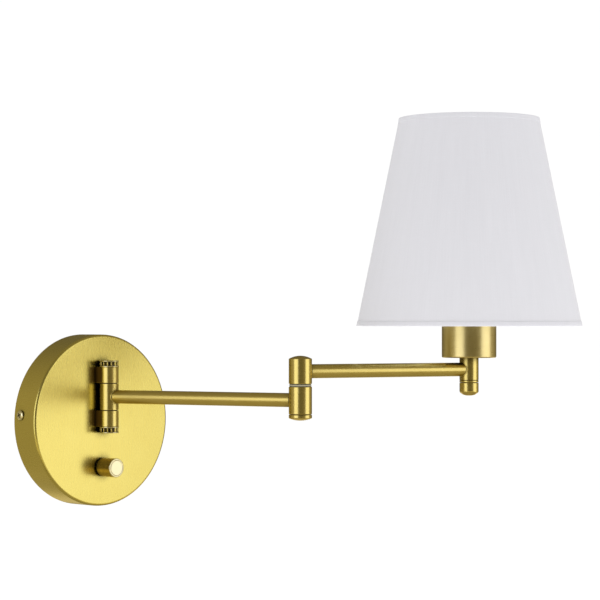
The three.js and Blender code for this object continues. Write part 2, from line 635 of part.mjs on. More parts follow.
function makeShade(group, fitterSeat) {
  const x = armTwo.length;
  const low = shade.bottom - armTwo.height;
  const high = low + shade.height;
  const [rLow, rHigh, t] = [shade.bottomDiameter / 2, shade.topDiameter / 2, shade.fabric];
  const section = [[rLow - t, low], [rLow, low], [rHigh, high], [rHigh - t, high], [rLow - t, low]];
  const cone = turned(section, large);
  piece(group, "shade", "fabric", cone.translate([x, 0, 0]));

  const slope = (rLow - rHigh) / shade.height;
  const inset = shade.fabric + hoopWire / 2 + faceGap;
  const hoop = (z) => {
    const radius = rLow - slope * (z - low) - inset;
    const torus = new THREE.TorusGeometry(radius, hoopWire / 2, 6, large);
    return { radius, solid: solidOf(torus).translate([x, 0, z]) };
  };
  const bottom = hoop(low + hoopWire / 2 + 0.5);
  const top = hoop(high - hoopWire / 2 - 0.5);
  piece(group, "shade_bottom_wire", "whiteWire", bottom.solid);
  piece(group, "shade_top_wire", "whiteWire", top.solid);

  // Spokes run from the fitter ring down and out to the bottom wire.
  const from = new THREE.Vector3(fitter.diameter / 2 + 1.3, 0, fitterSeat + fitter.thickness / 2);
  const to = new THREE.Vector3(bottom.radius - hoopWire / 2 - 0.8, 0, low + hoopWire / 2 + 0.5);
  const lean = THREE.MathUtils.radToDeg(Math.atan2(from.z - to.z, to.x - from.x));
  for (let i = 0; i < fitter.spokes; i++) {
    const spoke = alongX(rod(fitter.spokeDiameter, 0, from.distanceTo(to), 8)).rotate([0, lean, 0]);
    const placed = spoke.translate(from.toArray()).rotate([0, 0, 90 + (360 * i) / fitter.spokes]);
    piece(group, `shade_spoke_${i + 1}`, "whiteWire", placed.translate([x, 0, 0]));
  }
}

function makeBulb(group, { floor }) {
  const x = armTwo.length;
  const foot = floor + 1.8;
  const r = bulbCap.diameter / 2;
  const inner = r - bulbCap.wall;
  const capTop = foot + bulbCap.length;
  const cap = turned([
    [0, foot],
    [4.5, foot],
    [r - 1.5, foot + 3.5],
    [r, foot + 6],
    [r, capTop],
    [inner, capTop],
    [inner, foot + 6.5],
    [0, foot + 6.5],
  ]);
  piece(group, "bulb_cap", "steel", cap.translate([x, 0, 0]));

  const R = bulb.diameter / 2;
  const tip = foot + bulb.length;
  const centre = tip - R;
  const neck = bulb.neckDiameter / 2;
  const low = capTop + 0.05;
  const t = bulb.glass;
  const globe = arcProfile(0, centre, R, -42, 90, 9).map(([a, b]) => [Math.max(a, 0), b]);
  globe[globe.length - 1][0] = 0;
  const inside = arcProfile(0, centre, R - t, 90, -42, 7).map(([a, b]) => [Math.max(a, 0), b]);
  inside[0][0] = 0;
  const outer = [[r, low], [r, low + 6], [neck, low + 11], ...globe];
  const neckInside = [[neck - t, low + 11], [r - t, low + 6], [r - t, low]];
  const glass = turned([...outer, ...inside, ...neckInside, outer[0]]);
  piece(group, "bulb_globe", "frostedGlass", glass.translate([x, 0, 0]));
}

function makeArmTwoLead(group) {
  const start = -elbow.upper / 2 - elbow.ring - elbowPivot.topWall - 2.9;
  const end = stemTop + cup.wall + holderNipple.nutHeight + 3.4;
  piece(group, "lamp_lead_arm_two", "leadSleeve", armLead(start, armTwo.length, end));
}

// ---- assembly

const sconce = new THREE.Group();
makeCanopy(sconce);
makeStrap(sconce);
makeStrapScrews(sconce);
makeLugs(sconce);
makeLugFixings(sconce);
makePivotPins(sconce);
makePivotCaps(sconce);
makeDimmer(sconce);
makeTerminal(sconce);
makeCanopyLeads(sconce);

const firstArm = new THREE.Group();
firstArm.position.set(0, pivotY, armOne.height);
firstArm.rotation.z = THREE.MathUtils.degToRad(armOne.angle - 90);
sconce.add(firstArm);
makeArmOne(firstArm);

const secondArm = new THREE.Group();
secondArm.position.set(armOne.length, 0, armTwo.height - armOne.height);
secondArm.rotation.z = THREE.MathUtils.degToRad(armTwo.angle - armOne.angle);
firstArm.add(secondArm);
makeElbowTop(secondArm);
makeStem(secondArm);
const seats = makeHolder(secondArm);
makeShade(secondArm, makeShadeFixing(secondArm, seats));
makeBulb(secondArm, seats);
makeArmTwoLead(secondArm);

export default sconce;
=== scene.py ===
import math

import bmesh
import bpy
from mathutils import Matrix, Vector


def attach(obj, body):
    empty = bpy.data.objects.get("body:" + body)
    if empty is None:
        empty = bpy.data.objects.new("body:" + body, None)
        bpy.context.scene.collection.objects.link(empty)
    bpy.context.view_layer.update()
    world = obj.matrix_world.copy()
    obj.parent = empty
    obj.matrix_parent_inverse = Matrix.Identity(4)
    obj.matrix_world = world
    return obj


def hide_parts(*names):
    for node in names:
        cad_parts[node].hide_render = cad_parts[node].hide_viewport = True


# Swing arm wall sconce in satin brass with a white linen shade. Metres, +Z up, the wall is the plane y = 0.
# The pieces' own dictionaries are in millimetres.

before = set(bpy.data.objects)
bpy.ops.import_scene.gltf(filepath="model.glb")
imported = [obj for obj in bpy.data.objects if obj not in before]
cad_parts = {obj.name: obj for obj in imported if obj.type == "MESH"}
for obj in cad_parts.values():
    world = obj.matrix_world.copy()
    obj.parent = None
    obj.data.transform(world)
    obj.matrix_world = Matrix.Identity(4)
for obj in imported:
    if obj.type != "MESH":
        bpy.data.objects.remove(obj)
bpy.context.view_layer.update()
scene = bpy.context.scene
mm = 0.001
nearly = 1e-6  # metres, below which two places are the same
print("frame loaded")

# where the two arms stand at rest, in millimetres and degrees
reach = {
    "wallPivotY": -31.6,
    "armOne": 160,
    "armOneTurn": 17.1,  # from the wall's normal, towards +X
    "armOneHeight": 17.6,
    "armTwo": 140,
    "armTwoTurn": 72.8,
    "armTwoHeight": 38,
}
armOneLie = math.radians(reach["armOneTurn"] - 90)  # the arms' headings, from +X
armTwoLie = math.radians(reach["armTwoTurn"] - 90)
wallPivot = Vector((0, reach["wallPivotY"], 0)) * mm
elbowAxis = wallPivot + Vector((math.cos(armOneLie), math.sin(armOneLie), 0)) * reach["armOne"] * mm
stemAxis = elbowAxis + Vector((math.cos(armTwoLie), math.sin(armTwoLie), 0)) * reach["armTwo"] * mm


# small tools for materials

def linearColor(hexCode):
    values = []
    for place in (0, 2, 4):
        value = int(hexCode[place:place + 2], 16) / 255
        values.append(value / 12.92 if value <= 0.04045 else ((value + 0.055) / 1.055) ** 2.4)
    return (*values, 1.0)


def addNode(tree, kind, settings=None, links=None):
    # settings and links name a socket by its name or number; a link from a node takes its first output
    node = tree.nodes.new(kind)
    for key, value in (settings or {}).items():
        if isinstance(key, int) or key in node.inputs:
            node.inputs[key].default_value = value
        else:
            setattr(node, key, value)
    for key, source in (links or {}).items():
        output = source.outputs[0] if isinstance(source, bpy.types.Node) else source
        tree.links.new(output, node.inputs[key])
    return node


def startMaterial(name):
    material = bpy.data.materials.new(name)
    material.use_nodes = True
    material.node_tree.nodes.clear()
    coords = addNode(material.node_tree, "ShaderNodeTexCoord")
    return material, material.node_tree, coords.outputs["Object"]


def finishMaterial(material, settings, links):
    shader = addNode(material.node_tree, "ShaderNodeBsdfPrincipled", settings, links)
    addNode(material.node_tree, "ShaderNodeOutputMaterial", links={"Surface": shader})
    return material


def paintedCornerShade(tree, color, cornerShadeColor, within, low=0.35, high=0.92):
    # painted shade: the colour turns to a dark tone in the corners, where another face is nearer than within
    corner = addNode(tree, "ShaderNodeAmbientOcclusion", {"samples": 6, "Distance": within})
    openness = addNode(tree, "ShaderNodeMapRange", {1: low, 2: high}, {0: corner.outputs["AO"]})
    return addNode(tree, "ShaderNodeMix", {"data_type": "RGBA", 6: linearColor(cornerShadeColor)},
                   {0: openness, 7: color}).outputs[2]


# small tools for shapes

def profileCurve(corners, closed, steps):
    # corners are (radius, height, fillet) in millimetres; a fillet rounds its corner with a short arc
    points = []
    count = len(corners)
    for i, corner in enumerate(corners):
        here = Vector(corner[:2])
        fillet = corner[2] if len(corner) > 2 else 0
        between = closed or 0 < i < count - 1
        if not fillet or not between:
            points.append(here)
            continue
        before = (Vector(corners[i - 1][:2]) - here).normalized()
        after = (Vector(corners[(i + 1) % count][:2]) - here).normalized()
        half = before.angle(after) / 2
        centre = here + (before + after).normalized() * (fillet / math.sin(half))
        start = here + before * (fillet / math.tan(half)) - centre
        end = here + after * (fillet / math.tan(half)) - centre
        sweep = start.angle_signed(end)
        for step in range(steps + 1):
            points.append(centre + Matrix.Rotation(-sweep * step / steps, 2) @ start)
    return points


def spunForm(corners, sides=96, closed=False, steps=4):
    # a profile in millimetres, spun about its height into a form in metres
    form = bmesh.new()
    points = profileCurve(corners, closed, steps)
    verts = [form.verts.new((point.x * mm, 0, point.y * mm)) for point in points]
    edges = [form.edges.new(pair) for pair in zip(verts, verts[1:])]
    if closed:
        edges.append(form.edges.new((verts[-1], verts[0])))
    bmesh.ops.spin(form, geom=verts + edges, cent=(0, 0, 0), axis=(0, 0, 1), dvec=(0, 0, 0),
                   angle=math.tau, steps=sides, use_merge=True, use_duplicate=False)
    bmesh.ops.remove_doubles(form, verts=form.verts, dist=nearly)
    bmesh.ops.recalc_face_normals(form, faces=form.faces)
    return form


def moveForm(form, matrix):
    bmesh.ops.transform(form, matrix=matrix, verts=form.verts)
    return form


def standAt(form, axis, height=0.0):
    # all in metres
    return moveForm(form, Matrix.Translation((axis.x, axis.y, height)))


def faceRoom(form, height=0.0):
    # a form spun about +Z is turned to stand out of the wall, along -Y
    return moveForm(form, Matrix.Translation((0, 0, height)) @ Matrix.Rotation(math.pi / 2, 4, "X"))


def vertsOf(geometry):
    return [item for item in geometry if isinstance(item, bmesh.types.BMVert)]


def joinForms(form, other):
    # adds the second form to the first
    spare = bpy.data.meshes.new("spare")
    other.to_mesh(spare)
    other.free()
    form.from_mesh(spare)
    bpy.data.meshes.remove(spare)
    return form


def makePiece(name, form, materials, body, replaced=(), crease=32, choose=None):
    for face in form.faces:
        face.smooth = True
        if choose:
            face.material_index = choose(face)
    for edge in form.edges:
        edge.smooth = not (edge.is_manifold and edge.calc_face_angle(0) > math.radians(crease))
    mesh = bpy.data.meshes.new(name)
    form.to_mesh(mesh)
    form.free()
    for material in materials:
        mesh.materials.append(material)
    made = bpy.data.objects.new(name, mesh)
    scene.collection.objects.link(made)
    weighted = made.modifiers.new("even shading", "WEIGHTED_NORMAL")
    weighted.keep_sharp = True
    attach(made, body)
    if replaced:
        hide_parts(*replaced)
    return made


def cutAway(made, cutter):
    # takes the form cutter out of a finished piece
    mesh = bpy.data.meshes.new("cutter")
    cutter.to_mesh(mesh)
    cutter.free()
    tool = bpy.data.objects.new("cutter", mesh)
    scene.collection.objects.link(tool)
    cut = made.modifiers.new("cut", "BOOLEAN")
    cut.operation = "DIFFERENCE"
    cut.solver = "EXACT"
    cut.object = tool
    made.modifiers.move(len(made.modifiers) - 1, 0)
    bpy.context.view_layer.update()
    solid = bpy.data.meshes.new_from_object(made.evaluated_get(bpy.context.evaluated_depsgraph_get()))
    made.modifiers.remove(cut)
    old = made.data
    made.data = solid
    bpy.data.meshes.remove(old)
    bpy.data.objects.remove(tool)
    bpy.data.meshes.remove(mesh)
    solid.name = made.name


# finishes

def satinBrass(name, mark, turn=0.0, roughness=0.24, grain=0.02, light="EAD98A", deep="E4D07E"):
    # satin brass, brushed and lacquered: a soft warm gleam, stretched a little across the brush marks;
    # mark is the length of one brush mark along each axis, in metres
    material, tree, place = startMaterial(name)
    along = addNode(tree, "ShaderNodeMapping",
                    {"vector_type": "TEXTURE", "Rotation": (0, 0, turn), "Scale": mark}, {"Vector": place})
    brush = addNode(tree, "ShaderNodeTexNoise", {"Scale": 1.0, "Detail": 3.0, "Roughness": 0.6},
                    {"Vector": along})
    wide = addNode(tree, "ShaderNodeMapping", {"vector_type": "TEXTURE", "Scale": (18 * mm,) * 3},
                   {"Vector": place})
    cloud = addNode(tree, "ShaderNodeTexNoise", {"Scale": 1.0, "Detail": 2.0}, {"Vector": wide})
    tone = addNode(tree, "ShaderNodeMix", {"data_type": "RGBA", 6: linearColor(light), 7: linearColor(deep)},
                   {0: cloud}).outputs[2]
    dull = addNode(tree, "ShaderNodeMapRange", {1: 0.3, 2: 0.7, 3: roughness - grain, 4: roughness + grain},
                   {0: brush})
    bump = addNode(tree, "ShaderNodeBump", {"Strength": 0.02, "Distance": 0.004 * mm}, {"Height": brush})
    # the base colour carries painted shade in its corners
    return finishMaterial(material, {"Metallic": 1.0, "Coat Weight": 0.12, "Coat Roughness": 0.18}, {
        "Base Color": paintedCornerShade(tree, tone, "2A1C05", 6 * mm), "Roughness": dull, "Normal": bump,
    })


def polishedBrass(name, roughness):
    # bright machined brass: nearly a mirror, a little smeared by handling, and paler than the satin pieces as
    # a painted highlight
    material, tree, place = startMaterial(name)
    space = addNode(tree, "ShaderNodeMapping", {"vector_type": "TEXTURE", "Scale": (3 * mm,) * 3},
                    {"Vector": place})
    smear = addNode(tree, "ShaderNodeTexNoise", {"Scale": 1.0, "Detail": 2.0}, {"Vector": space})
    tone = addNode(tree, "ShaderNodeMix",
                   {"data_type": "RGBA", 6: linearColor("F6F2D2"), 7: linearColor("F0E8C2")},
                   {0: smear}).outputs[2]
    dull = addNode(tree, "ShaderNodeMapRange", {1: 0.3, 2: 0.7, 3: roughness - 0.03, 4: roughness + 0.05},
                   {0: smear})
    # the base colour carries painted shade in its corners and recesses
    return finishMaterial(material, {"Metallic": 1.0, "Coat Weight": 0.2, "Coat Roughness": 0.1}, {
        "Base Color": paintedCornerShade(tree, tone, "1E1505", 1.2 * mm), "Roughness": dull,
    })


def neckShadeBrass():
    # painted shade on the lugs' sides where they reach back to the canopy: dark brown, dull brass with sand
    # grain
    material, tree, place = startMaterial("neckShadeBrass")
    space = addNode(tree, "ShaderNodeMapping", {"vector_type": "TEXTURE", "Scale": (0.8 * mm,) * 3},
                    {"Vector": place})
    sand = addNode(tree, "ShaderNodeTexNoise", {"Scale": 1.0, "Detail": 3.0}, {"Vector": space})
    tone = addNode(tree, "ShaderNodeMix",
                   {"data_type": "RGBA", 6: linearColor("6E5528"), 7: linearColor("8A6D38")},
                   {0: sand}).outputs[2]
    dull = addNode(tree, "ShaderNodeMapRange", {1: 0.3, 2: 0.7, 3: 0.38, 4: 0.5}, {0: sand})
    bump = addNode(tree, "ShaderNodeBump", {"Strength": 0.2, "Distance": 0.05 * mm}, {"Height": sand})
    # the base colour carries painted shade in its corners
    return finishMaterial(material, {"Metallic": 1.0}, {
        "Base Color": paintedCornerShade(tree, tone, "1A0E04", 5 * mm), "Roughness": dull, "Normal": bump,
    })


def spunBrassWithHighlight(centre):
    # the knob's face, skimmed on a lathe: coloured almost white as a painted highlight, with fine rings round
    # its centre.
    # real turning marks are about 0.1 mm apart, too fine to show, so these are about 1 mm apart
    material, tree, place = startMaterial("spunBrassWithHighlight")
    space = addNode(tree, "ShaderNodeMapping",
                    {"vector_type": "TEXTURE", "Location": centre, "Scale": (1 * mm,) * 3},
                    {"Vector": place})
    rings = addNode(tree, "ShaderNodeTexWave",
                    {"wave_type": "RINGS", "rings_direction": "Y", "Scale": 0.32},
                    {"Vector": space}).outputs["Fac"]
    tone = addNode(tree, "ShaderNodeMix",
                   {"data_type": "RGBA", 6: linearColor("F5F1D6"), 7: linearColor("DDD3A4")},
                   {0: rings}).outputs[2]
    dull = addNode(tree, "ShaderNodeMapRange", {3: 0.12, 4: 0.22}, {0: rings})
    bump = addNode(tree, "ShaderNodeBump", {"Strength": 0.25, "Distance": 0.02 * mm}, {"Height": rings})
    return finishMaterial(material, {"Metallic": 1.0, "Coat Weight": 0.2},
                          {"Base Color": tone, "Roughness": dull, "Normal": bump})


def zincSteel():
    # zinc-plated pressed steel: cool grey with a faint crystal mottle and fine rolling marks
    material, tree, place = startMaterial("zincPlatedSteel")
    crystalSpace = addNode(tree, "ShaderNodeMapping", {"vector_type": "TEXTURE", "Scale": (2.5 * mm,) * 3},
                           {"Vector": place})
    crystal = addNode(tree, "ShaderNodeTexVoronoi", {"Scale": 1.0}, {"Vector": crystalSpace})
    rollSpace = addNode(tree, "ShaderNodeMapping",
                        {"vector_type": "TEXTURE", "Scale": (9 * mm, 0.5 * mm, 0.5 * mm)}, {"Vector": place})
    rolled = addNode(tree, "ShaderNodeTexNoise", {"Scale": 1.0, "Detail": 3.0}, {"Vector": rollSpace})
    tone = addNode(tree, "ShaderNodeMix",
                   {"data_type": "RGBA", 6: linearColor("A9ADB0"), 7: linearColor("C6C8C8")},
                   {0: crystal.outputs["Distance"]}).outputs[2]
    dull = addNode(tree, "ShaderNodeMapRange", {1: 0.3, 2: 0.7, 3: 0.28, 4: 0.42}, {0: rolled})
    bump = addNode(tree, "ShaderNodeBump", {"Strength": 0.15, "Distance": 0.03 * mm}, {"Height": rolled})
    return finishMaterial(material, {"Metallic": 1.0},
                          {"Base Color": tone, "Roughness": dull, "Normal": bump})


def mouldedPlastic(name, first, second, roughness, grit):
    # moulded plastic, or a thin powder coat: one even colour with a slight orange peel in its gloss, and
    # painted shade in its corners
    material, tree, place = startMaterial(name)
    space = addNode(tree, "ShaderNodeMapping", {"vector_type": "TEXTURE", "Scale": (grit,) * 3},
                    {"Vector": place})
    peel = addNode(tree, "ShaderNodeTexNoise", {"Scale": 1.0, "Detail": 3.0}, {"Vector": space})
    tone = addNode(tree, "ShaderNodeMix",
                   {"data_type": "RGBA", 6: linearColor(first), 7: linearColor(second)},
                   {0: peel}).outputs[2]
    dull = addNode(tree, "ShaderNodeMapRange", {1: 0.3, 2: 0.7, 3: roughness - 0.06, 4: roughness + 0.06},
                   {0: peel})
    bump = addNode(tree, "ShaderNodeBump", {"Strength": 0.2, "Distance": 0.04 * mm}, {"Height": peel})
    return finishMaterial(material, {"IOR": 1.5}, {
        "Base Color": paintedCornerShade(tree, tone, "15130E", 1.5 * mm), "Roughness": dull, "Normal": bump,
    })


def greenChromate():
    # green chromate on the earth screw: a thin coloured film that lets the metal's gloss through
    material, tree, place = startMaterial("greenEarthScrew")
    space = addNode(tree, "ShaderNodeMapping", {"vector_type": "TEXTURE", "Scale": (1.5 * mm,) * 3},
                    {"Vector": place})
    film = addNode(tree, "ShaderNodeTexNoise", {"Scale": 1.0, "Detail": 3.0}, {"Vector": space})
    tone = addNode(tree, "ShaderNodeMix",
                   {"data_type": "RGBA", 6: linearColor("2E6B3C"), 7: linearColor("4A8C58")},
                   {0: film}).outputs[2]
    dull = addNode(tree, "ShaderNodeMapRange", {1: 0.3, 2: 0.7, 3: 0.3, 4: 0.45}, {0: film})
    return finishMaterial(material, {"Metallic": 0.7}, {"Base Color": tone, "Roughness": dull})


def braidedSleeve():
    # braided glass-fibre sleeving over the lamp lead: pale, matt, with a small diagonal braid
    material, tree, place = startMaterial("braidedSleeve")
    strands = []
    for lean in (0.8, -0.8):
        space = addNode(tree, "ShaderNodeMapping",
                        {"vector_type": "TEXTURE", "Rotation": (0, 0, lean), "Scale": (2 * mm,) * 3},
                        {"Vector": place})
        strands.append(addNode(tree, "ShaderNodeTexWave",
                               {"wave_type": "BANDS", "bands_direction": "DIAGONAL", "Scale": 1.0},
                               {"Vector": space}).outputs["Fac"])
    braid = addNode(tree, "ShaderNodeMath", {"operation": "MAXIMUM"}, {0: strands[0], 1: strands[1]})
    tone = addNode(tree, "ShaderNodeMix",
                   {"data_type": "RGBA", 6: linearColor("CFC8B4"), 7: linearColor("F0ECDF")},
                   {0: braid}).outputs[2]
    dull = addNode(tree, "ShaderNodeMapRange", {3: 0.75, 4: 0.6}, {0: braid})
    bump = addNode(tree, "ShaderNodeBump", {"Strength": 0.4, "Distance": 0.1 * mm}, {"Height": braid})
    return finishMaterial(material, {"IOR": 1.5, "Sheen Weight": 0.2},
                          {"Base Color": tone, "Roughness": dull, "Normal": bump})


def shadeLinen():
    # fine white linen on a stiff backing: matt, with soft upright slubs; its map holds metres round and
    # up the shade. The real threads are about 0.3 mm apart, too fine to show, so the slubs are drawn
    # about 0.9 mm wide
    material, tree, place = startMaterial("whiteLinen")
    cloth = addNode(tree, "ShaderNodeUVMap", {"uv_map": "clothMap"})
    slubs = []
    for size in ((0.9 * mm, 26 * mm, 1), (14 * mm, 0.8 * mm, 1), (7 * mm, 90 * mm, 1)):
        lay = addNode(tree, "ShaderNodeMapping", {"vector_type": "TEXTURE", "Scale": size},
                      {"Vector": cloth})
        slubs.append(addNode(tree, "ShaderNodeTexNoise", {"Scale": 1.0, "Detail": 2.0, "Roughness": 0.5},
                             {"Vector": lay}))
    upright, across, broad = slubs
    weave = addNode(tree, "ShaderNodeMath", {"operation": "MULTIPLY_ADD", 1: 0.45}, {0: across, 2: upright})
    depth = addNode(tree, "ShaderNodeMath", {"operation": "MULTIPLY_ADD", 1: 0.8}, {0: broad, 2: weave})
    share = addNode(tree, "ShaderNodeMapRange", {1: 0.75, 2: 1.5}, {0: depth})
    tone = addNode(tree, "ShaderNodeMix",
                   {"data_type": "RGBA", 6: linearColor("ECEBF1"), 7: linearColor("F0EFF5")},
                   {0: share}).outputs[2]
    dull = addNode(tree, "ShaderNodeMapRange", {1: 0.4, 2: 1.1, 3: 0.95, 4: 0.82}, {0: weave})
    bump = addNode(tree, "ShaderNodeBump", {"Strength": 0.35, "Distance": 0.12 * mm}, {"Height": weave})
    return finishMaterial(material, {
        "IOR": 1.45, "Sheen Weight": 0.25, "Sheen Roughness": 0.5, "Specular IOR Level": 0.25,
        "Subsurface Weight": 0.25, "Subsurface Scale": 3 * mm, "Subsurface Radius": (1, 1, 1),
    }, {"Base Color": tone, "Roughness": dull, "Normal": bump})


def shadeLining():
    # the laminated film inside the shade: smooth satin white with a faint ripple
    material, tree, place = startMaterial("whiteLining")
    space = addNode(tree, "ShaderNodeMapping", {"vector_type": "TEXTURE", "Scale": (20 * mm,) * 3},
                    {"Vector": place})
    ripple = addNode(tree, "ShaderNodeTexNoise", {"Scale": 1.0, "Detail": 1.0}, {"Vector": space})
    tone = addNode(tree, "ShaderNodeMix",
                   {"data_type": "RGBA", 6: linearColor("ECECEA"), 7: linearColor("F7F7F5")},
                   {0: ripple}).outputs[2]
    dull = addNode(tree, "ShaderNodeMapRange", {1: 0.3, 2: 0.7, 3: 0.4, 4: 0.5}, {0: ripple})
    return finishMaterial(material, {"IOR": 1.5, "Coat Weight": 0.1},
                          {"Base Color": tone, "Roughness": dull})


def frostedGlass():
    # acid-frosted bulb glass: milky, with a soft gloss and a fine even grain
    material, tree, place = startMaterial("frostedGlass")
    space = addNode(tree, "ShaderNodeMapping", {"vector_type": "TEXTURE", "Scale": (0.6 * mm,) * 3},
                    {"Vector": place})
    frost = addNode(tree, "ShaderNodeTexNoise", {"Scale": 1.0, "Detail": 4.0}, {"Vector": space})
    tone = addNode(tree, "ShaderNodeMix",
                   {"data_type": "RGBA", 6: linearColor("F4F3EE"), 7: linearColor("FCFCFA")},
                   {0: frost}).outputs[2]
    dull = addNode(tree, "ShaderNodeMapRange", {1: 0.3, 2: 0.7, 3: 0.3, 4: 0.42}, {0: frost})
    return finishMaterial(material, {
        "IOR": 1.5, "Subsurface Weight": 0.5, "Subsurface Scale": 5 * mm, "Subsurface Radius": (1, 1, 1),
        "Coat Weight": 0.25, "Coat Roughness": 0.2,
    }, {"Base Color": tone, "Roughness": dull})


def studioPaper():
    # a sheet of white studio paper: matt with a trace of tooth, and a little light of its own
    material, tree, place = startMaterial("studioPaper")
    space = addNode(tree, "ShaderNodeMapping", {"vector_type": "TEXTURE", "Scale": (40 * mm,) * 3},
                    {"Vector": place})
    tooth = addNode(tree, "ShaderNodeTexNoise", {"Scale": 1.0, "Detail": 2.0}, {"Vector": space})
    tone = addNode(tree, "ShaderNodeMix",
                   {"data_type": "RGBA", 6: linearColor("F4F4F4"), 7: linearColor("F8F8F8")},
                   {0: tooth}).outputs[2]
    return finishMaterial(material, {
        "Roughness": 0.95, "Specular IOR Level": 0.1,
        "Emission Color": (1, 1, 1, 1), "Emission Strength": 0.6,
    }, {"Base Color": tone})


drawnMark = (22 * mm, 0.5 * mm, 0.5 * mm)  # drawn and brushed along a tube
turnedMark = (20 * mm, 20 * mm, 0.35 * mm)  # polished round a barrel on a lathe
plateMark = (0.6 * mm, 12 * mm, 12 * mm)  # brushed up and down the canopy
knobMark = (9 * mm, 0.4 * mm, 9 * mm)  # turned round the knob
knobLevel = -34.7 * mm  # the height of the knob's axis
brass = {
    "turned": satinBrass("satinBrassTurned", turnedMark),
    "cup": satinBrass("satinBrassCup", turnedMark, roughness=0.29, light="F0E2AA", deep="E8D798"),
    "armOne": satinBrass("satinBrassArmOne", drawnMark, armOneLie, roughness=0.3),
    "armTwo": satinBrass("satinBrassArmTwo", drawnMark, armTwoLie, roughness=0.27),
    "plate": satinBrass("satinBrassPlate", plateMark, roughness=0.27, grain=0.01,
                        light="E8DB82", deep="E2D378"),
    "knob": satinBrass("satinBrassKnob", knobMark, light="DECB82", deep="CBB364"),
    "bright": polishedBrass("polishedBrass", 0.24),
    "screw": polishedBrass("machinedBrass", 0.2),
    "neck": neckShadeBrass(),
    "spun": spunBrassWithHighlight((0, 0, knobLevel)),
}
steel = zincSteel()
nylon = mouldedPlastic("naturalNylon", "A39C80", "ADA68C", 0.42, 0.8 * mm)
phenolic = mouldedPlastic("blackPhenolic", "1B1A19", "262423", 0.38, 0.9 * mm)
whiteWire = mouldedPlastic("whitePowderCoat", "E2E2E0", "EDEDEB", 0.45, 0.5 * mm)
sleeve = braidedSleeve()
linen = shadeLinen()
lining = shadeLining()
frosted = frostedGlass()
earthGreen = greenChromate()
print("finishes mixed")

# wall canopy and its screws

canopySize = {"radius": 63.5, "depth": 24, "wall": 1.2, "edge": 2.0, "innerEdge": 1.5, "backLip": 0.3}


def canopyForm(radius, depth, wall, edge, innerEdge, backLip):
    inside, floor = radius - wall, depth - wall
    return spunForm([
        (0, floor), (inside, floor, innerEdge), (inside, 0, backLip),
        (radius, 0, backLip), (radius, depth, edge), (0, depth),
    ], sides=160, steps=6)


makePiece("canopyDish", faceRoom(canopyForm(**canopySize)), [brass["plate"]], "wall_base",
          ["canopy"])

screwSize = {"head": 3.6, "height": 1.45, "shank": 2, "length": 7.4}
recessSize = {"arm": 2.3, "half": 0.5, "depth": 1.0, "taper": 0.55}
screwPlace = {"fromAxis": 63.52, "fromWall": 7.5, "level": 5, "turn": 0.45}


def screwForm(head, height, shank, length):
    return spunForm([
        (0, -length), (shank - 0.6, -length, 0.3), (shank, -length + 1, 0.2), (shank, 0.05),
        (head, 0.05, 0.15), (head, 0.75, 0.5), (head - 1.1, height, 0.8), (0, height),
    ], sides=48)


def crossCutter(top, arm, half, depth, taper):
    # a tapered plus shape, to press the driver recess into a screw head; it starts 0.5 mm above the head
    form = bmesh.new()
    corners = [Vector((x, y, top + 0.5)) * mm for x, y in ((arm, -half), (arm, half), (half, half))]
    outline = []
    for quarter in range(4):
        turn = Matrix.Rotation(quarter * math.pi / 2, 3, "Z")
        outline += [turn @ corner for corner in corners]
    lid = form.faces.new([form.verts.new(spot) for spot in outline])
    foot = vertsOf(bmesh.ops.extrude_face_region(form, geom=[lid])["geom"])
    bmesh.ops.translate(form, vec=(0, 0, -(depth + 0.5) * mm), verts=foot)
    bmesh.ops.scale(form, vec=(taper, taper, 1), verts=foot)
    bmesh.ops.recalc_face_normals(form, faces=form.faces)
    return form


for side, name in ((-1, "left"), (1, "right")):
    spot = Vector((side * screwPlace["fromAxis"], -screwPlace["fromWall"], screwPlace["level"])) * mm
    place = (Matrix.Translation(spot) @ Matrix.Rotation(side * math.pi / 2, 4, "Y")
             @ Matrix.Rotation(screwPlace["turn"], 4, "Z"))
    screw = makePiece("rimScrew" + name.capitalize(), moveForm(screwForm(**screwSize), place),
                      [brass["screw"]], "wall_base", ["canopy_screw_" + name])
    cutAway(screw, moveForm(crossCutter(screwSize["height"], **recessSize), place))
print("canopy made")

# wall knuckle: two fixed lugs with ribbed caps, and the turning barrel between them

lugSize = {"radius": 7, "height": 11.8, "neck": 7.6, "chamfer": 0.28}
lugLevels = {"upper": 27.8, "lower": -4.4}


def lugForm(radius, height, neck, chamfer):
    # a half round, drawn back to the canopy and raised, with all its rims chamfered but those at the canopy
    form = bmesh.new()
    bmesh.ops.create_circle(form, cap_ends=True, segments=96, radius=radius * mm)
    bmesh.ops.bisect_plane(form, geom=form.verts[:] + form.edges[:] + form.faces[:], plane_co=(0, 0, 0),
                           plane_no=(0, 1, 0), clear_outer=True)
    backEdge = [edge for edge in form.edges if all(abs(vert.co.y) < nearly for vert in edge.verts)]
    grown = vertsOf(bmesh.ops.extrude_edge_only(form, edges=backEdge)["geom"])
    bmesh.ops.translate(form, vec=(0, neck * mm, 0), verts=grown)
    bmesh.ops.dissolve_faces(form, faces=form.faces[:])
    raised = vertsOf(bmesh.ops.extrude_face_region(form, geom=form.faces[:])["geom"])
    bmesh.ops.translate(form, vec=(0, 0, height * mm), verts=raised)
    bmesh.ops.recalc_face_normals(form, faces=form.faces)
    rims = [edge for edge in form.edges if abs(edge.verts[0].co.z - edge.verts[1].co.z) < nearly
            and not all(vert.co.y > neck * mm - nearly for vert in edge.verts)]
    bmesh.ops.bevel(form, geom=rims, offset=chamfer * mm, offset_type="OFFSET", segments=3, profile=0.5,
                    affect="EDGES", material=-1)
    return form


# the lugs' sides near the canopy take the dark brass, as painted shade
def neckFace(face):
    behind = face.calc_center_median().y > wallPivot.y + 0.5 * mm
    return 1 if behind and abs(face.normal.x) > 0.9 else 0


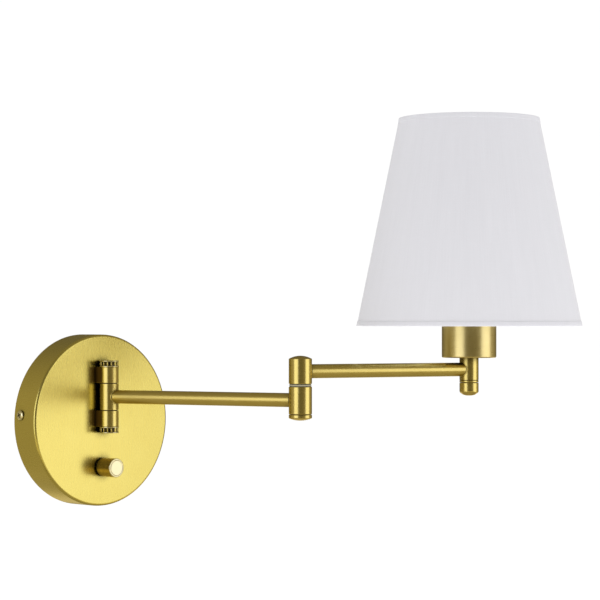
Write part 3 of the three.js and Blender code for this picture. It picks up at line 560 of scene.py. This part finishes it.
for name, level in lugLevels.items():
    lug = standAt(lugForm(**lugSize), wallPivot, level * mm)
    makePiece(name + "Lug", lug, [brass["turned"], brass["neck"]], "wall_base",
              [name + "_lug"], choose=neckFace)

capSize = {"flange": 7.3, "outerFlange": 7.2, "height": 4.8, "thin": 0.95, "core": 4.5, "hollow": 3.0,
           "ribs": 14, "rib": 0.62, "ribInset": 0.35}


def aroundAxis(away, share):
    # a spot away from the axis in millimetres, at a share of a full turn
    turn = math.tau * share
    return Vector((math.cos(turn), math.sin(turn), 0)) * away * mm


def ribbedCap(flange, outerFlange, height, thin, core, hollow, ribs, rib, ribInset):
    # two flanges on a core, with barrel-shaped ribs stood round between them
    cap = spunForm([
        (0, 0), (flange, 0, 0.4), (flange, thin, 0.4), (core, thin), (core, height - thin),
        (outerFlange, height - thin, 0.4), (outerFlange, height, 0.4),
        (hollow + 0.4, height, 0.2), (hollow, height - 0.35, 0.2), (0, height - 0.35),
    ])
    low, high = thin * 0.6, height - thin * 0.6
    away = flange - ribInset - rib
    for i in range(ribs):
        ribForm = spunForm([
            (0, low), (rib * 0.6, low), (rib, height / 2, 1.0), (rib * 0.6, high), (0, high),
        ], sides=16)
        joinForms(cap, standAt(ribForm, aroundAxis(away, (i + 0.5) / ribs)))
    return cap


def flangesFrom(level, outward):
    # picks the two polished flanges, the one that bears on the lug and the one at the end
    middle = level + outward * capSize["height"] / 2 * mm
    ribHalf = (capSize["height"] / 2 - capSize["thin"]) * mm
    return lambda face: 1 if abs(face.calc_center_median().z - middle) > ribHalf else 0


for name, level, outward in (("upper", lugLevels["upper"] + lugSize["height"], 1),
                             ("lower", lugLevels["lower"], -1)):
    cap = moveForm(ribbedCap(**capSize), Matrix.Rotation(0 if outward > 0 else math.pi, 4, "X"))
    makePiece(name + "RibbedCap", standAt(cap, wallPivot, level * mm), [brass["turned"], brass["bright"]],
              "wall_base", [name + "_pivot_cap"], choose=flangesFrom(level * mm, outward))


def tubeForm(radius, bore, low, high, edge, sides=96):
    # an open barrel with rounded outer edges
    corners = [(bore, low), (radius, low, edge), (radius, high, edge), (bore, high)]
    return spunForm(corners, sides, closed=True)


knuckleSize = {"radius": 7, "bore": 4.1, "low": 7.82, "high": 27.38, "edge": 0.3}
makePiece("knuckleBarrel", standAt(tubeForm(**knuckleSize), wallPivot), [brass["turned"]], "inner_arm",
          ["knuckle_barrel"])
print("knuckle made")

# arms, each with its ends let into the barrels and one of them brazed round

# an into value is how far from the barrel's axis the tube ends; a bead's armOne and armTwo are its own radius
armSize = {"radius": 5, "bore": 4, "edge": 0.2, "intoKnuckle": 5.6, "intoElbow": 6.9, "intoStem": 5.6}
beadSize = {"barrel": 7, "out": 5.05, "sunk": 0.12, "armOne": 0.55, "armTwo": 0.4}


def layAlong(form, axisPoint, lie, height):
    lay = Matrix.Translation(axisPoint + Vector((0, 0, height * mm))) @ Matrix.Rotation(lie, 4, "Z")
    return moveForm(form, lay)


def armTube(start, end, axisPoint, lie, height):
    # a drawn tube that starts and ends so far from the axis point, laid along its arm
    form = tubeForm(armSize["radius"], armSize["bore"], start, end, armSize["edge"], sides=80)
    return layAlong(moveForm(form, Matrix.Rotation(math.pi / 2, 4, "Y")), axisPoint, lie, height)


def brazedBead(beadRadius, axisPoint, lie, height):
    # the thin bead of braze round an arm where it meets an upright barrel, bent to the barrel's side
    form = bmesh.new()
    turns = 72
    rings = []
    for i in range(turns):
        turn = math.tau * i / turns
        across = beadSize["out"] * math.cos(turn)
        onBarrel = math.sqrt(beadSize["barrel"] ** 2 - across ** 2) - beadSize["sunk"]
        spot = Vector((onBarrel, across, beadSize["out"] * math.sin(turn))) * mm
        stand = Matrix.Translation(spot) @ Matrix.Rotation(turn, 4, "X")
        ring = bmesh.ops.create_circle(form, cap_ends=False, segments=10, radius=beadRadius * mm)["verts"]
        bmesh.ops.transform(form, matrix=stand, verts=ring)
        rings.append(ring)
    for ring, following in zip(rings, rings[1:] + rings[:1]):
        edges = {edge for verts in (ring, following) for vert in verts for edge in vert.link_edges
                 if edge.other_vert(vert) in verts}
        bmesh.ops.bridge_loops(form, edges=list(edges))
    bmesh.ops.recalc_face_normals(form, faces=form.faces)
    return layAlong(form, axisPoint, lie, height)


armOneTube = armTube(armSize["intoKnuckle"], reach["armOne"] - armSize["intoElbow"], wallPivot, armOneLie,
                     reach["armOneHeight"])
knuckleBead = brazedBead(beadSize["armOne"], wallPivot, armOneLie, reach["armOneHeight"])
makePiece("armOneTube", joinForms(armOneTube, knuckleBead), [brass["armOne"]], "inner_arm",
          ["arm_one_tube"])

armTwoTube = armTube(armSize["intoElbow"], reach["armTwo"] - armSize["intoStem"], elbowAxis, armTwoLie,
                     reach["armTwoHeight"])
stemBead = brazedBead(beadSize["armTwo"], stemAxis, armTwoLie + math.pi, reach["armTwoHeight"])
makePiece("armTwoTube", joinForms(armTwoTube, stemBead), [brass["armTwo"]], "outer_arm",
          ["arm_two_tube"])
print("arms made")

# elbow: the upper barrel turns on a pale ring over the lower one, which has a cap screwed in below

elbowUpperSize = {"radius": 8.2, "low": 29.17, "shoulder": 46.85, "crown": 49.05, "edge": 0.45}
elbowRingSize = {"radius": 7.8, "bore": 4.2, "low": 27.28, "high": 29.12, "edge": 0.6}
elbowLowerSize = {"radius": 8.2, "bore": 4.2, "mouth": 6.3, "low": 7.75, "high": 27.23, "edge": 0.45}
elbowCapSize = {"radius": 8.2, "seat": 7.48, "shoulder": 4.95, "crown": 3.25, "plug": 6.0, "plugTop": 10.23}


def domeCorners(radius, shoulder, crown, steps=9):
    # the points of a shallow dome, from its shoulder to its crown, which may be above or below
    rise = abs(crown - shoulder)
    upward = math.copysign(1, crown - shoulder)
    sphere = (radius ** 2 + rise ** 2) / (2 * rise)
    corners = []
    for step in range(1, steps + 1):
        away = radius * (1 - step / steps)
        corners.append((away, shoulder + upward * (rise - sphere + math.sqrt(sphere ** 2 - away ** 2))))
    return corners


def elbowUpperForm(radius, low, shoulder, crown, edge):
    return spunForm([(0, low), (radius, low, edge), (radius, shoulder, 0.25),
                     *domeCorners(radius, shoulder, crown)])


def elbowLowerForm(radius, bore, mouth, low, high, edge):
    return spunForm([(bore, high), (radius, high, edge), (radius, low, edge), (mouth, low)], closed=True)


def elbowCapForm(radius, seat, shoulder, crown, plug, plugTop):
    return spunForm([
        (0, plugTop), (plug, plugTop, 0.2), (plug, seat), (radius, seat, 0.45),
        (radius, shoulder - 0.1, 0.9), *domeCorners(radius, shoulder, crown),
    ])


makePiece("elbowUpper", standAt(elbowUpperForm(**elbowUpperSize), elbowAxis), [brass["turned"]], "outer_arm",
          ["elbow_upper_barrel"], crease=14)
makePiece("elbowRing", standAt(tubeForm(**elbowRingSize), elbowAxis), [nylon], "outer_arm",
          ["elbow_ring"])
makePiece("elbowLower", standAt(elbowLowerForm(**elbowLowerSize), elbowAxis), [brass["turned"]], "inner_arm",
          ["elbow_lower_barrel"])
makePiece("elbowBottomCap", standAt(elbowCapForm(**elbowCapSize), elbowAxis), [brass["turned"]], "inner_arm",
          ["elbow_bottom_cap"], crease=14)
print("elbow made")

# stem and its bottom cap, socket cup, lampholder and ring nut

stemSize = {"radius": 7, "bore": 5, "low": 28.52, "high": 46.55, "line": 30.1}
stemCapSize = {"radius": 7, "seat": 28.28, "low": 18.75, "plug": 4.8, "plugTop": 32}
cupSize = {"radius": 20, "low": 46.6, "high": 78, "wall": 1.1, "edge": 1.05}
holderSize = {"radius": 18.4, "bore": 13.9, "low": 51, "floor": 58, "high": 90, "threadLow": 79.6,
              "pitch": 1.5, "turns": 6}
nutSize = {"flange": 25, "radius": 23.8, "bore": 18.6, "low": 79.42, "high": 85.88, "grips": 24, "grip": 1.0}


def stemForm(radius, bore, low, high, line):
    # a barrel with a fine line turned round it
    return spunForm([
        (bore, high), (radius, high, 0.15), (radius, line + 0.3), (radius - 0.4, line), (radius, line - 0.3),
        (radius, low, 0.35), (bore, low),
    ], closed=True)


def stemCapForm(radius, seat, low, plug, plugTop):
    return spunForm([
        (0, plugTop), (plug, plugTop, 0.2), (plug, seat), (radius, seat, 0.4),
        (radius, low + 2.5, 1.8), (4.3, low + 0.55, 2.0), (1.8, low, 1.2), (0, low),
    ], steps=6)


def cupForm(radius, low, high, wall, edge):
    inside, floor = radius - wall, low + wall
    return spunForm([
        (0, floor), (inside, floor, 0.4), (inside, high, 0.3),
        (radius, high, 0.3), (radius, low, edge), (0, low),
    ], sides=128)


def holderForm(radius, bore, low, floor, high, threadLow, pitch, turns):
    thread = []
    for turn in range(turns):  # the coarse outer thread that the shade's ring nut runs on
        level = threadLow + 0.9 + turn * pitch
        thread += [(radius - 0.05, level, 0.25), (radius - 0.65, level + pitch / 2, 0.25)]
    return spunForm([
        (0, low), (radius, low, 0.5), (radius, threadLow), *thread, (radius, high, 0.6),
        (bore, high, 0.8), (bore, floor, 0.5), (0, floor),
    ], sides=72, steps=2)


def ringNut(flange, radius, bore, low, high, grips, grip):
    nut = spunForm([
        (bore, low, 0.3), (flange, low, 0.4), (flange, low + 2.0, 0.3),
        (radius, low + 2.4, 0.3), (radius, high, 0.6), (bore, high, 0.5),
    ], closed=True, steps=3)
    for i in range(grips):
        gripForm = spunForm([(0, low + 2.2), (grip, low + 2.2), (grip, high - 0.5, 0.4), (0, high - 0.5)],
                            sides=12, steps=2)
        joinForms(nut, standAt(gripForm, aroundAxis(radius - 0.1, i / grips)))
    return nut


makePiece("stemBarrel", standAt(stemForm(**stemSize), stemAxis), [brass["turned"]], "outer_arm",
          ["stem_barrel"])
makePiece("stemBottomCap", standAt(stemCapForm(**stemCapSize), stemAxis), [brass["turned"]], "outer_arm",
          ["stem_cap"])
makePiece("socketCup", standAt(cupForm(**cupSize), stemAxis), [brass["cup"]], "outer_arm",
          ["socket_cup"])
makePiece("lampholderShell", standAt(holderForm(**holderSize), stemAxis), [phenolic], "outer_arm",
          ["lampholder"])
makePiece("shadeRingNut", standAt(ringNut(**nutSize), stemAxis), [phenolic], "outer_arm",
          ["shade_ring_nut"])
print("stem and holder made")

# shade: a linen cone with folded hems, wires and spokes

shadeSize = {"low": 69.8, "high": 222.3, "bottom": 82.8, "top": 51.6, "cloth": 0.85}
shadeBands = (0.6, 40, 76, 115, 151.9)  # heights above the bottom edge at which the cone's mesh is divided
hemSize = {"height": 3.6, "proud": 0.28, "behind": 0.3, "lip": 0.35}


def shadeRadius(height):
    share = (height - shadeSize["low"]) / (shadeSize["high"] - shadeSize["low"])
    return shadeSize["bottom"] + (shadeSize["top"] - shadeSize["bottom"]) * share


def mapCloth(form, axis):
    # metres round the shade and up it, so that the weave follows the cloth
    cloth = form.loops.layers.uv.new("clothMap")
    middle = (shadeSize["bottom"] + shadeSize["top"]) / 2 * mm
    for face in form.faces:
        centre = face.calc_center_median() - axis
        faceTurn = math.atan2(centre.y, centre.x)
        for loop in face.loops:
            spot = loop.vert.co - axis
            turn = math.atan2(spot.y, spot.x)
            if abs(turn - faceTurn) > math.pi:
                turn += math.tau if turn < faceTurn else -math.tau
            loop[cloth].uv = (turn * middle, spot.z)
    return form


def shadeForm():
    # cloth and lining, a little inside the hems' outer face
    levels = [shadeSize["low"] + band for band in shadeBands]
    outside = [(shadeRadius(level) - hemSize["proud"], level) for level in levels]
    inside = [(shadeRadius(level) - shadeSize["cloth"], level) for level in reversed(levels)]
    return spunForm(outside + inside, sides=192, closed=True)


def hemForm(low, high):
    # cloth folded over the wire: a flat band a little proud of the cone, round at its outer edge
    lip, behind = hemSize["lip"], shadeSize["cloth"] + hemSize["behind"]
    return spunForm([
        (shadeRadius(low), low, lip), (shadeRadius(high), high, lip),
        (shadeRadius(high) - behind, high, lip * 0.8), (shadeRadius(low) - behind, low, lip * 0.8),
    ], sides=192, closed=True, steps=3)


def insideFace(face):
    away = face.calc_center_median() - stemAxis
    away.z = 0
    return 1 if face.normal.dot(away) < 0 else 0


shadeCone = makePiece("shadeCone", mapCloth(standAt(shadeForm(), stemAxis), stemAxis), [linen, lining],
                      "outer_arm", ["shade"], choose=insideFace)
hemLevels = {"shadeHemBottom": shadeSize["low"], "shadeHemTop": shadeSize["high"] - hemSize["height"]}
hems = []
for name, low in hemLevels.items():
    hem = standAt(hemForm(low, low + hemSize["height"]), stemAxis)
    hems.append(makePiece(name, mapCloth(hem, stemAxis), [linen], "outer_arm"))
for cloth in (shadeCone, *hems):
    cloth.visible_glossy = False  # white cloth would light up the top of the arm under it like a lamp

# the real cloth is cut flat as part of a ring, and wrapped round its two wires
print("shade made")

wireSize = {"wireRadius": 1.15, "inset": 2.45}
fitterSize = {"radius": 28, "bore": 18.7, "low": 78.12, "high": 79.28}
spokeSize = {"count": 3, "radius": 1.4, "inner": (27.6, 78.7), "outer": (79.4, 71.5)}  # ends: out and up


def wireHoop(height, wireRadius, inset):
    radius = shadeRadius(height) - inset
    turns = [math.tau * i / 12 for i in range(12)]
    return spunForm([(radius + wireRadius * math.cos(turn), height + wireRadius * math.sin(turn))
                     for turn in turns], sides=144, closed=True)


def fitterForm(radius, bore, low, high):
    corners = [(bore, low, 0.2), (radius, low, 0.3), (radius, high, 0.3), (bore, high, 0.2)]
    return spunForm(corners, closed=True)


def spokeForm(turn):
    inner, outer = (Vector((out, 0, up)) for out, up in (spokeSize["inner"], spokeSize["outer"]))
    run, radius = outer - inner, spokeSize["radius"]
    form = spunForm([(0, 0), (radius, 0, 0.3), (radius, run.length, 0.3), (0, run.length)], sides=20)
    lean = run.to_track_quat("Z", "Y").to_matrix().to_4x4()
    return moveForm(form, Matrix.Rotation(turn, 4, "Z") @ Matrix.Translation(inner * mm) @ lean)


for name, node, height in (("bottomWire", "shade_bottom_wire", 71.5), ("topWire", "shade_top_wire", 220.6)):
    makePiece(name, standAt(wireHoop(height, **wireSize), stemAxis), [whiteWire], "outer_arm",
              [node])
makePiece("fitterRing", standAt(fitterForm(**fitterSize), stemAxis), [whiteWire], "outer_arm",
          ["shade_fitter_ring"])
for i in range(spokeSize["count"]):
    turn = armTwoLie + math.pi / 2 + math.tau * i / spokeSize["count"]
    makePiece(f"shadeSpoke{i + 1}", standAt(spokeForm(turn), stemAxis), [whiteWire], "outer_arm",
              [f"shade_spoke_{i + 1}"])
print("wires made")

# bulb

bulbSize = {"low": 84.85, "mouth": 12.2, "collar": 12.9, "collarHigh": 91.5, "neck": 14.6, "neckHigh": 97,
            "globe": 29.9, "centre": 137.8, "globeStart": -42}  # the globe starts at -42 degrees


def bulbForm(low, mouth, collar, collarHigh, neck, neckHigh, globe, centre, globeStart, steps=14):
    corners = [(mouth, low), (collar, low, 0.2), (collar, collarHigh, 2), (neck, neckHigh, 8)]
    for step in range(steps):
        turn = math.radians(globeStart + (90 - globeStart) * step / steps)
        corners.append((globe * math.cos(turn), centre + globe * math.sin(turn)))
    return spunForm([*corners, (0, centre + globe)])


makePiece("bulbGlobe", standAt(bulbForm(**bulbSize), stemAxis), [frosted], "outer_arm",
          ["bulb_globe"])
print("bulb made")

# dimmer knob, with a groove round its spun face

knobSize = {"radius": 7, "bore": 6.2, "back": 25.3, "front": 40.25, "edge": 0.45, "ring": 5.5,
            "groove": 0.18}


def knobForm(radius, bore, back, front, edge, ring, groove):
    rim = front - 0.1
    return spunForm([
        (bore, back + 3.1), (bore, back, 0.1), (radius, back, 0.35), (radius, rim, edge),
        (ring + 0.4, rim, 0.1), (ring + 0.1, rim - groove, 0.08), (ring - 0.2, front, 0.15), (0, front),
    ], sides=128)


def knobFace(face):
    return 1 if face.calc_center_median().y < -(knobSize["front"] - 0.7) * mm else 0


makePiece("dimmerKnob", faceRoom(knobForm(**knobSize), knobLevel), [brass["knob"], brass["spun"]],
          "dimmer_knob", ["dimmer_knob"], crease=30, choose=knobFace)
print("knob made")

# finishes of the pieces that keep their CAD shape

cadFinish = {
    "wall_strap": steel, "ground_screw": earthGreen, "lug_screw": steel, "wire_nipple": steel,
    "nipple_nut": steel, "upper_pivot_pin": steel, "lower_pivot_pin": steel, "upper_knuckle_washer": nylon,
    "lower_knuckle_washer": nylon, "dimmer_body": phenolic, "dimmer_washer": steel, "dimmer_nut": steel,
    "dimmer_shaft": steel, "terminal_block": nylon, "terminal_screw_1": steel, "terminal_screw_2": steel,
    "terminal_screw_3": steel, "lamp_lead_canopy": sleeve, "dimmer_lead": sleeve,
    "lamp_lead_arm_one": sleeve, "lamp_lead_arm_two": sleeve, "elbow_pivot": steel,
    "elbow_spring_washer": steel, "elbow_nut": steel,
    "holder_nipple": steel, "holder_nut": steel, "screw_shell": brass["screw"],
    "centre_contact": brass["screw"], "bulb_cap": steel,
}
for name, finish in cadFinish.items():
    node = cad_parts[name]
    if not node.material_slots:
        node.data.materials.append(finish)
    for slot in node.material_slots:
        slot.material = finish
print("CAD pieces finished")

# studio. A range's four numbers are where its input starts and ends, and what it gives at each

studio = {
    "floorLevel": -0.9,
    "floorRadius": 9,
    "backdrop": 1.02,  # what the camera sees behind the lamp
    "fill": 0.52,  # what lights matt surfaces
    "roomTone": (1.0, 0.83, 0.44),  # what the brass mirrors between the softboxes: a dim warm room
    "towardsView": (-0.706, -0.708, 0),  # from the lamp to the camera
    "walls": (0.35, 0.95, 0.36, 0.13),  # from beside the line of view to along it
    "ceiling": (0.3, 0.9, 1.0, 0.6),  # by height
    # where the floor glows: bearing, cosines at which it starts and is full, and whether both ways
    "floorPatches": ((-135, 0.588, 0.695, True), (-45, 0.93, 0.985, False)),
    "floorGlow": 0.6,
    "floorFar": (-0.2, -0.32, 0.0, 1.0),  # by height, as its far and near edges fade
    "floorNear": (-0.62, -0.5, 0.0, 1.0),
    "softboxAim": 30,  # the height in millimetres of the spot that both face, on the elbow's axis
    "left": {"turn": 181.7, "distance": 1.5, "rise": 6, "size": (1.11, 1.12), "glow": 1.1},
    "right": {"turn": -60, "distance": 1.5, "rise": 3, "size": (1.18, 1.12), "glow": 1.0},
}


def softbox(name, turn, distance, rise, size, glow):
    lamp = bpy.data.lights.new(name, "AREA")
    lamp.shape = "RECTANGLE"
    lamp.size, lamp.size_y = size
    lamp.energy = glow * math.pi * size[0] * size[1]
    made = bpy.data.objects.new(name, lamp)
    bearing, up = math.radians(turn), math.radians(rise)
    out = Vector((math.cos(bearing) * math.cos(up), math.sin(bearing) * math.cos(up), math.sin(up)))
    aim = elbowAxis + Vector((0, 0, studio["softboxAim"] * mm))
    made.matrix_world = (Matrix.Translation(aim + out * distance)
                         @ out.to_track_quat("Z", "Y").to_matrix().to_4x4())
    made.visible_camera = False
    scene.collection.objects.link(made)


for name in ("left", "right"):
    softbox("softbox" + name.capitalize(), **studio[name])

floorForm = bmesh.new()
bmesh.ops.create_circle(floorForm, cap_ends=True, segments=64, radius=studio["floorRadius"])
bmesh.ops.translate(floorForm, vec=(0, 0, studio["floorLevel"]), verts=floorForm.verts)
floorMesh = bpy.data.meshes.new("studioFloor")
floorForm.to_mesh(floorMesh)
floorForm.free()
floorMesh.materials.append(studioPaper())
floor = bpy.data.objects.new("studioFloor", floorMesh)
scene.collection.objects.link(floor)
floor.visible_glossy = False

world = bpy.data.worlds.new("studioRoom")
scene.world = world
world.use_nodes = True
room = world.node_tree
room.nodes.clear()
heading = addNode(room, "ShaderNodeTexCoord").outputs["Generated"]
upward = addNode(room, "ShaderNodeSeparateXYZ", links={"Vector": heading}).outputs["Z"]

# walls and ceiling, dimmer along the line of view and overhead
alongView = addNode(room, "ShaderNodeVectorMath", {"operation": "DOT_PRODUCT", 1: studio["towardsView"]},
                    {0: heading}).outputs["Value"]
eitherWay = addNode(room, "ShaderNodeMath", {"operation": "ABSOLUTE"}, {0: alongView})
walls = addNode(room, "ShaderNodeMapRange", dict(enumerate(studio["walls"], 1)), {0: eitherWay})
ceiling = addNode(room, "ShaderNodeMapRange", dict(enumerate(studio["ceiling"], 1)), {0: upward})

# the floor's glow, on a few bearings and between two heights
flat = addNode(room, "ShaderNodeVectorMath", {"operation": "MULTIPLY", 1: (1, 1, 0)}, {0: heading})
bearing = addNode(room, "ShaderNodeVectorMath", {"operation": "NORMALIZE"}, {0: flat})
patches = []
for turn, start, full, bothWays in studio["floorPatches"]:
    aim = (math.cos(math.radians(turn)), math.sin(math.radians(turn)), 0)
    aimed = addNode(room, "ShaderNodeVectorMath", {"operation": "DOT_PRODUCT", 1: aim},
                    {0: bearing}).outputs["Value"]
    if bothWays:
        aimed = addNode(room, "ShaderNodeMath", {"operation": "ABSOLUTE"}, {0: aimed})
    patches.append(addNode(room, "ShaderNodeMapRange", {1: start, 2: full, 4: studio["floorGlow"]},
                           {0: aimed}))
patch = addNode(room, "ShaderNodeMath", {"operation": "ADD"}, {0: patches[0], 1: patches[1]})
far = addNode(room, "ShaderNodeMapRange", dict(enumerate(studio["floorFar"], 1)), {0: upward})
near = addNode(room, "ShaderNodeMapRange", dict(enumerate(studio["floorNear"], 1)), {0: upward})
band = addNode(room, "ShaderNodeMath", {"operation": "MULTIPLY"}, {0: far, 1: near})
floorGlow = addNode(room, "ShaderNodeMath", {"operation": "MULTIPLY"}, {0: patch, 1: band})

# mirrors see the room, matt surfaces an even fill, and the camera a plain white backdrop
roomGlow = addNode(room, "ShaderNodeMath", {"operation": "MULTIPLY_ADD"},
                   {0: walls, 1: ceiling, 2: floorGlow})
mirrored = addNode(room, "ShaderNodeVectorMath", {"operation": "SCALE", 0: studio["roomTone"]},
                   {"Scale": roomGlow})
rays = addNode(room, "ShaderNodeLightPath")
filled = addNode(room, "ShaderNodeMix", {"data_type": "RGBA", 6: (*(studio["fill"],) * 3, 1)},
                 {0: rays.outputs["Is Glossy Ray"], 7: mirrored})
shown = addNode(room, "ShaderNodeMix", {"data_type": "RGBA", 7: (*(studio["backdrop"],) * 3, 1)},
                {0: rays.outputs["Is Camera Ray"], 6: filled.outputs[2]})
air = addNode(room, "ShaderNodeBackground", {"Strength": 1.0}, {"Color": shown.outputs[2]})
addNode(room, "ShaderNodeOutputWorld", links={"Surface": air})
print("studio lit")

view = {"place": (-1.0537, -1.2876, 0.0736), "turn": -44.93, "lens": 132.6, "sensor": 36, "shift": 0.0348}
eye = bpy.data.cameras.new("studioCamera")
eye.lens = view["lens"]
eye.sensor_width = view["sensor"]
eye.shift_y = view["shift"]
eye.clip_end = 60
camera = bpy.data.objects.new("studioCamera", eye)
camera.location = view["place"]
camera.rotation_euler = (math.pi / 2, 0, math.radians(view["turn"]))
scene.collection.objects.link(camera)
scene.camera = camera
scene.view_settings.view_transform = "Standard"
scene.view_settings.look = "None"

bpy.context.view_layer.update()
